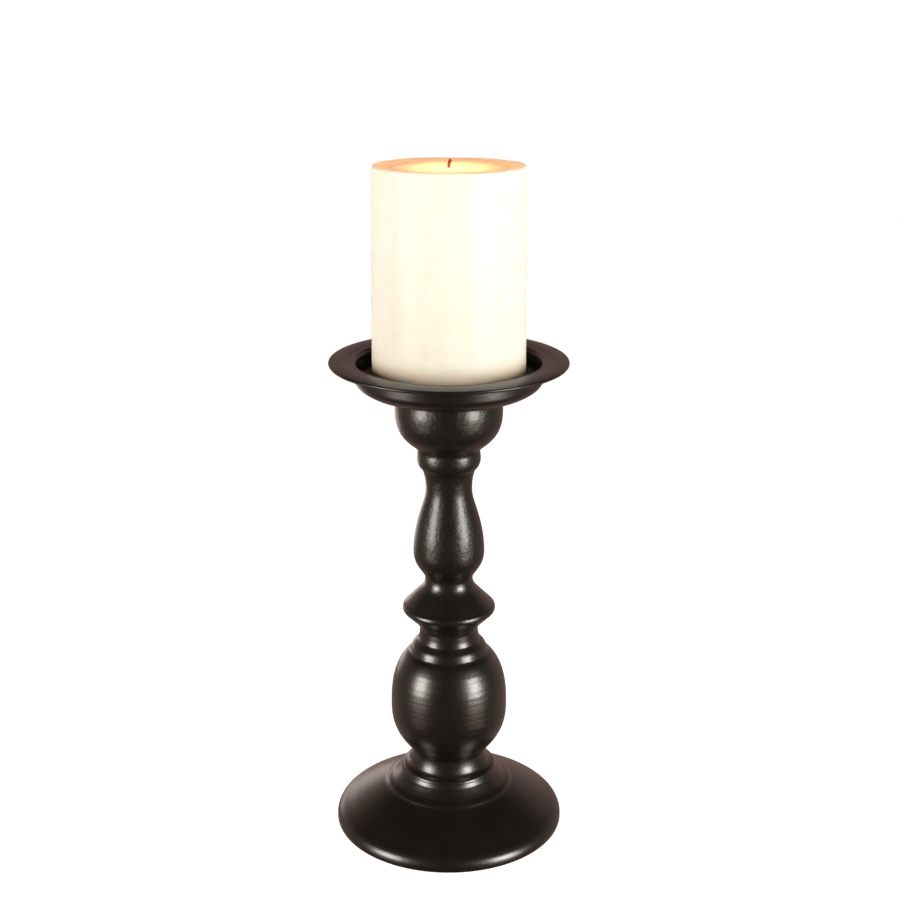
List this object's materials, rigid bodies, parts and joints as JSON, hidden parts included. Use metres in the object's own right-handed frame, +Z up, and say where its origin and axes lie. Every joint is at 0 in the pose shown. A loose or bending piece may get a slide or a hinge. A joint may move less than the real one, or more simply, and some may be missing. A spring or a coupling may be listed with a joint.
{
  "type": "wooden pillar candlestick",
  "caption": "Turned baluster candlestick on a round domed foot, with a shallow flanged pan and a pillar candle standing in it.",
  "frame": {"origin": "on the table, at the centre of the round foot's underside", "axes": "+Z up along the turning axis; the holder is the same all round, X and Y are free"},
  "size_m": [0.12, 0.12, 0.3516],
  "materials": {
    "painted_turned_wood": "satin dark espresso paint over turned hardwood",
    "painted_spun_steel": "satin dark espresso paint over spun steel",
    "zinc_plated_steel": "bright zinc plate",
    "tinned_steel": "dull tin plate",
    "candle_wax": "smooth ivory paraffin wax",
    "cotton_wick": "braided cotton, charred above the wax",
    "felt": "pressed wool felt"
  },
  "bodies": {
    "holder": {"felt_pad": "felt", "foot": "painted_turned_wood", "lower_baluster": "painted_turned_wood", "knop": "painted_turned_wood", "upper_baluster": "painted_turned_wood", "cup": "painted_turned_wood", "candle_pan": "painted_spun_steel", "tie_rod": "zinc_plated_steel", "flat_washer": "zinc_plated_steel", "spring_washer": "zinc_plated_steel", "hex_nut": "zinc_plated_steel", "sleeve_nut": "zinc_plated_steel"},
    "candle": {"candle_wax": "candle_wax", "wick_tab": "tinned_steel", "wick": "cotton_wick"}
  },
  "joints": [
    {"name": "candle_lift", "type": "slide", "parent": "holder", "child": "candle", "axis": [0, 0, 1], "range_m": [0, 0.13]}
  ]
}
